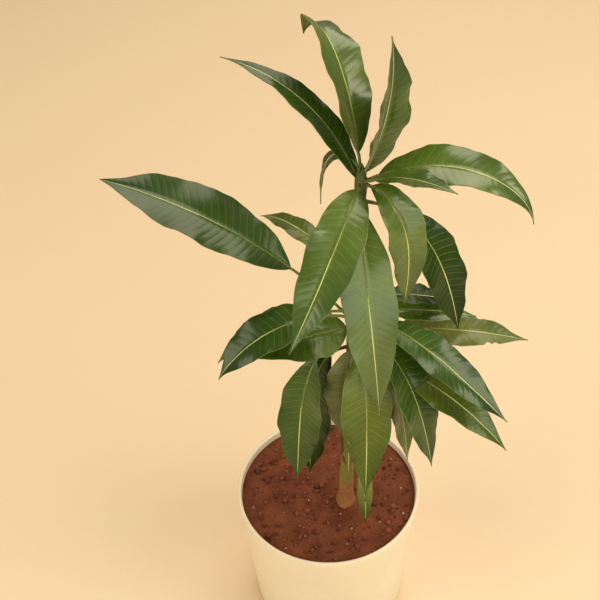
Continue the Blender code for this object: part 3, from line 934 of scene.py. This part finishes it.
class MANGO_OT_stem(Operator):
    """Wrap the leaning trunk in furrowed bark and grow the green shoot on to its bud"""
    bl_idname = "mango.stem"
    bl_label = "Trunk and Shoot"

    def execute(self, context):
        settings = context.scene.mango_stem
        brown = tuple(settings.colour)
        green = tuple(settings.green)
        foot = finish_material("bark_foot", (0.42, 0.20, 0.075), (0.27, 0.125, 0.05), 130.0,
                               1100.0, 0.5, rough=(0.7, 0.85), bump=0.6, bump_depth=0.0004)
        bark = finish_material("bark_brown", brown, lighter(brown, 0.7), 110.0, 1100.0, 0.5,
                               rough=(0.65, 0.8), bump=0.6, bump_depth=0.0004)
        young = finish_material("bark_green", (0.15, 0.16, 0.035), (0.11, 0.12, 0.03), 110.0,
                                900.0, 0.4, rough=(0.5, 0.65), bump=0.4, bump_depth=0.0003)
        fresh = finish_material("bark_yellow", (0.30, 0.27, 0.055), (0.21, 0.18, 0.045), 120.0,
                                1000.0, 0.5, rough=(0.55, 0.7), bump=0.5, bump_depth=0.0003)
        shoot = finish_material("shoot_green", green, lighter(green, 0.75), 90.0, 900.0, 0.4,
                                rough=(0.4, 0.55), bump=0.3, bump_depth=0.0002)
        trunk = new_piece("trunk_bark", trunk_work(settings.relief), (foot, bark, young, fresh))
        declare(trunk, "bark", "trunk")
        declare(joined("leaf_scars", scar_pieces((foot,))), "bark", "trunk")
        tip = new_piece("shoot_stem", shoot_work(settings.relief * 0.5), (shoot,))
        declare(tip, "leaf", CROWN)
        declare(joined("end_bud", bud_pieces((shoot,))), "leaf", CROWN)
        return {"FINISHED"}


def turned_work(profile, steps):
    """A shape turned round the upright axis from pairs of radius and height."""
    work = bmesh.new()
    ring = [work.verts.new((radius, 0.0, height)) for radius, height in profile]
    edges = [work.edges.new(pair) for pair in zip(ring, ring[1:])]
    bmesh.ops.spin(work, geom=ring + edges, cent=(0.0, 0.0, 0.0), axis=(0.0, 0.0, 1.0),
                   angle=2.0 * math.pi, steps=steps, use_merge=True, use_duplicate=False)
    bmesh.ops.remove_doubles(work, verts=work.verts, dist=0.00001)
    return work


def pot_profile(settings):
    """From the hollow underside round the foot, up the wall, over the rim and down inside."""
    slope = (settings.rim_radius - settings.foot_radius) / settings.height
    foot = settings.foot_radius - POT_ROUND
    profile = [(0.0, POT_HOLLOW), (POT_RING[0], POT_HOLLOW), (POT_RING[1], 0.0), (foot, 0.0)]
    for step in range(1, 11):
        angle = math.radians(-90.0 + 9.0 * step)
        profile.append((foot + POT_ROUND * math.cos(angle) + slope * POT_ROUND * step / 10,
                        POT_ROUND + POT_ROUND * math.sin(angle)))
    for step in range(1, 10):
        height = POT_ROUND + (settings.height - POT_NECK - POT_ROUND) * step / 9
        profile.append((settings.foot_radius + slope * height, height))
    middle = settings.rim_radius - POT_RIM
    for step in range(13):
        angle = math.radians(15.0 * step)
        inner = (settings.wall - 2.0 * POT_RIM) * (step / 12)
        profile.append((middle + POT_RIM * math.cos(angle) - inner,
                        settings.height - POT_RIM + POT_RIM * math.sin(angle)))
    inside = settings.foot_radius - settings.wall
    for height in (0.180, 0.165, 0.12, 0.06, 0.012):
        profile.append((inside + slope * height, height))
    return profile + [(inside - 0.005, POT_FLOOR), (0.0, POT_FLOOR)]


class MANGO_OT_pot(Operator):
    """Turn the tapered round pot with its soft rim and rounded foot"""
    bl_idname = "mango.pot"
    bl_label = "Pot"

    def execute(self, context):
        settings = context.scene.mango_pot
        work = turned_work(pot_profile(settings), POT_STEPS)
        bmesh.ops.dissolve_degenerate(work, edges=work.edges, dist=0.000001)
        bmesh.ops.recalc_face_normals(work, faces=work.faces)
        cream = tuple(settings.colour)
        shell = finish_material("pot_cream", cream, lighter(cream, 0.95), 14.0, 260.0, 0.25,
                                rough=(0.38, 0.50), bump=0.15, bump_depth=0.0002)
        pot = new_piece("pot_shell", work, (shell,))
        declare(pot, "pot", "pot")
        return {"FINISHED"}


def lump_height(x, y, bumps):
    """Sum of the broad round lumps at a place on the soil."""
    total = 0.0
    for centre_x, centre_y, size, height in bumps:
        reach = ((x - centre_x) ** 2 + (y - centre_y) ** 2) / (size * size)
        if reach < 9.0:
            total += height * math.exp(-reach)
    return total


def soil_lift(x, y, bumps, radius):
    """Height of the crumbly top above its mean: broad lumps, clods and fine crumbs."""
    foot = math.hypot(x - FOOT_X, y - FOOT_Y)
    edge = radius - math.hypot(x, y)
    broad = lump_height(x, y, bumps)
    broad *= min(1.0, max(0.0, (foot - SOIL_PAD) / SOIL_EDGE))
    broad *= min(1.0, max(0.0, edge / SOIL_EDGE))
    clod = noise.voronoi(Vector((x, y, 0.0)) * 150.0)[0][0]
    fine = 0.0012 * (0.45 - min(0.8, clod))
    fine += 0.0007 * noise.fractal(Vector((x, y, 0.3)) * 260.0, 0.7, 2.1, 5)
    fine *= min(1.0, max(0.0, (foot - 0.012) / 0.005))
    fine *= min(1.0, max(0.0, edge / 0.003))
    return broad + fine - 0.0015 * math.exp(-max(edge, 0.0) / 0.0025)


def soil_bumps(settings):
    chance = random.Random(SOIL_SEED)
    bumps = []
    for _ in range(SOIL_BUMPS):
        angle = chance.uniform(0.0, 2.0 * math.pi)
        radius = settings.radius * math.sqrt(chance.random())
        bumps.append((radius * math.cos(angle), radius * math.sin(angle),
                      chance.uniform(0.008, 0.017), chance.uniform(-0.7, 1.0) * settings.lump))
    return bumps


def soil_work(settings, bumps):
    """The filling: fine rings on top, raised point by point, over plain sides."""
    profile = [(settings.radius * step / SOIL_RINGS, SOIL_TOP) for step in range(SOIL_RINGS + 1)]
    profile += [(settings.radius - SOIL_TAPER, SOIL_FLOOR), (0.0, SOIL_FLOOR)]
    work = turned_work(profile, SOIL_STEPS)
    bmesh.ops.recalc_face_normals(work, faces=work.faces)
    for vert in work.verts:
        if vert.co.z > SOIL_TOP - 0.001:
            vert.co.z += soil_lift(vert.co.x, vert.co.y, bumps, settings.radius)
    return work


def add_crumb(work, chance, place, size, tone):
    """One crumb: a ball, turned and stretched by chance, with a knobbly face."""
    turn = Matrix.Rotation(chance.uniform(0.0, 6.28), 4, Vector((
        chance.uniform(-1.0, 1.0), chance.uniform(-1.0, 1.0), 0.6)).normalized())
    stretch = Matrix.Diagonal((chance.uniform(0.75, 1.35), chance.uniform(0.75, 1.25),
                               chance.uniform(0.6, 1.0), 1.0))
    made = bmesh.ops.create_icosphere(work, subdivisions=2 if size > 0.0012 else 1, radius=size,
                                      matrix=Matrix.Translation(place) @ turn @ stretch)
    shift = Vector((chance.uniform(0.0, 50.0), 0.0, 0.0))
    for vert in made["verts"]:
        off = vert.co - place
        knob = noise.noise(off * (0.9 / size) + shift)
        vert.co = place + off * (1.0 + 0.45 * knob)
        for face in vert.link_faces:
            face.material_index = tone


def crumb_work(settings, bumps):
    """Loose crumbs and grit, many small and few large, strewn clear of the stem."""
    chance = random.Random(CRUMB_SEED)
    work = bmesh.new()
    for _ in range(settings.crumbs):
        angle = chance.uniform(0.0, 2.0 * math.pi)
        out = (settings.radius - 0.003) * math.sqrt(chance.random())
        x = out * math.cos(angle)
        y = out * math.sin(angle)
        if math.hypot(x - FOOT_X, y - FOOT_Y) < CRUMB_CLEAR:
            continue
        size = CRUMB_LEAST + CRUMB_SPREAD * chance.random() ** 3.2
        tone = chance.choices(range(len(CRUMB_SHARES)), CRUMB_SHARES)[0]
        if tone == GRIT:
            size = min(size, GRIT_MOST)
        base = SOIL_TOP + soil_lift(x, y, bumps, settings.radius) + size * 0.35
        add_crumb(work, chance, Vector((x, y, base)), size, tone)
    return work


class MANGO_OT_soil(Operator):
    """Fill the pot with lumpy moist earth and strew loose crumbs and grit over it"""
    bl_idname = "mango.soil"
    bl_label = "Soil"

    def execute(self, context):
        settings = context.scene.mango_soil
        bumps = soil_bumps(settings)
        earth = tuple(settings.colour)
        ground = finish_material("soil_red", earth, lighter(earth, 0.45), 38.0, 900.0, 0.42,
                                 rough=(0.85, 0.97), bump=0.9, bump_depth=0.0006, specular=0.3)
        declare(new_piece("soil_top", soil_work(settings, bumps), (ground,)), "soil", "soil")
        dull = dict(scale=300.0, fine_scale=1500.0, fine_share=0.5, rough=(0.85, 0.95), bump=0.6,
                    specular=0.3)
        tones = (
            finish_material("crumb_dark", lighter(earth, 0.6), lighter(earth, 0.45), **dull),
            finish_material("crumb_red", lighter(earth, 0.95), lighter(earth, 0.7), **dull),
            finish_material("crumb_clay", (0.27, 0.105, 0.052), (0.20, 0.075, 0.038), **dull),
            finish_material("grit_pale", (0.42, 0.33, 0.23), (0.30, 0.22, 0.15), 300.0, 1500.0,
                            0.4, rough=(0.7, 0.85), bump=0.5),
        )
        crumbs = new_piece("soil_crumbs", crumb_work(settings, bumps), tones)
        declare(crumbs, "soil", "soil")
        return {"FINISHED"}


class MANGO_OT_stage(Operator):
    """Lay the pale floor and set the soft lights and the camera"""
    bl_idname = "mango.stage"
    bl_label = "Floor, Lights and Camera"

    def execute(self, context):
        settings = context.scene.mango_stage
        work = bmesh.new()
        bmesh.ops.create_grid(work, x_segments=8, y_segments=8, size=6.0)
        bmesh.ops.translate(work, verts=work.verts, vec=(0.0, 0.0, -0.0005))
        tint = tuple(settings.floor_colour)
        plain = finish_material("floor_pale", tint, lighter(tint, 0.97), 1.5, 30.0, 0.2,
                                rough=(0.75, 0.85))
        floor = new_piece("floor", work, (plain,), smooth=False)

        for name, place, size, energy, colour in LIGHTS:
            lamp = bpy.data.lights.new(name, "AREA")
            lamp.shape = "DISK"
            lamp.size = size
            lamp.energy = energy
            lamp.color = colour
            light = bpy.data.objects.new(name, lamp)
            light.location = place
            aim = Vector(LIGHT_AIM) - Vector(place)
            light.rotation_euler = aim.to_track_quat("-Z", "Y").to_euler()
            context.scene.collection.objects.link(light)
        world = bpy.data.worlds.new("studio")
        world.use_nodes = True
        sky = world.node_tree.nodes["Background"]
        sky.inputs["Color"].default_value = (1.0, 0.86, 0.68, 1.0)
        sky.inputs["Strength"].default_value = 0.29
        context.scene.world = world
        context.scene.view_settings.view_transform = "Standard"
        context.scene.view_settings.look = "Medium High Contrast"

        tilt = math.radians(CAMERA_TILT)
        lean = math.radians(CAMERA_LEAN)
        ahead = Vector((0.0, math.cos(tilt), -math.sin(tilt)))
        under = Vector((0.0, -math.sin(tilt), -math.cos(tilt)))
        level = Vector((1.0, 0.0, 0.0))
        right = level * math.cos(lean) + under * math.sin(lean)
        down = under * math.cos(lean) - level * math.sin(lean)
        turn = Matrix((right, -down, -ahead)).transposed().to_4x4()
        lens = bpy.data.cameras.new("photo_view")
        lens.sensor_width = 36.0
        lens.lens = settings.lens
        camera = bpy.data.objects.new("photo_view", lens)
        camera.matrix_world = Matrix.Translation(CAMERA_PLACE) @ turn
        context.scene.collection.objects.link(camera)
        context.scene.camera = camera
        return {"FINISHED"}


class MANGO_PT_sidebar(Panel):
    """Sizes and colours of the sapling, with a button for each group of pieces"""
    bl_idname = "MANGO_PT_sidebar"
    bl_label = "Mango Sapling"
    bl_space_type = "VIEW_3D"
    bl_region_type = "UI"
    bl_category = "Mango"

    def draw(self, context):
        layout = self.layout
        scene = context.scene
        for settings, operator in ((scene.mango_stage, MANGO_OT_stage),
                                   (scene.mango_pot, MANGO_OT_pot),
                                   (scene.mango_soil, MANGO_OT_soil),
                                   (scene.mango_stem, MANGO_OT_stem),
                                   (scene.mango_leaves, MANGO_OT_leaves)):
            box = layout.box()
            for name in settings.__annotations__:
                box.prop(settings, name)
            box.operator(operator.bl_idname)


SETTINGS = (("mango_pot", PotSettings), ("mango_soil", SoilSettings),
            ("mango_stem", StemSettings), ("mango_leaves", LeafSettings),
            ("mango_stage", StageSettings))
CLASSES = (MANGO_OT_stage, MANGO_OT_pot, MANGO_OT_soil, MANGO_OT_stem, MANGO_OT_leaves,
           MANGO_PT_sidebar)


def register():
    for name, group in SETTINGS:
        bpy.utils.register_class(group)
        setattr(bpy.types.Scene, name, bpy.props.PointerProperty(type=group))
    for made in CLASSES:
        bpy.utils.register_class(made)


def unregister():
    for made in reversed(CLASSES):
        bpy.utils.unregister_class(made)
    for name, group in reversed(SETTINGS):
        delattr(bpy.types.Scene, name)
        bpy.utils.unregister_class(group)


def main():
    register()
    bpy.ops.mango.stage()
    bpy.ops.mango.pot()
    bpy.ops.mango.soil()
    bpy.ops.mango.stem()
    bpy.ops.mango.leaves()


if __name__ == "__main__":
    main()
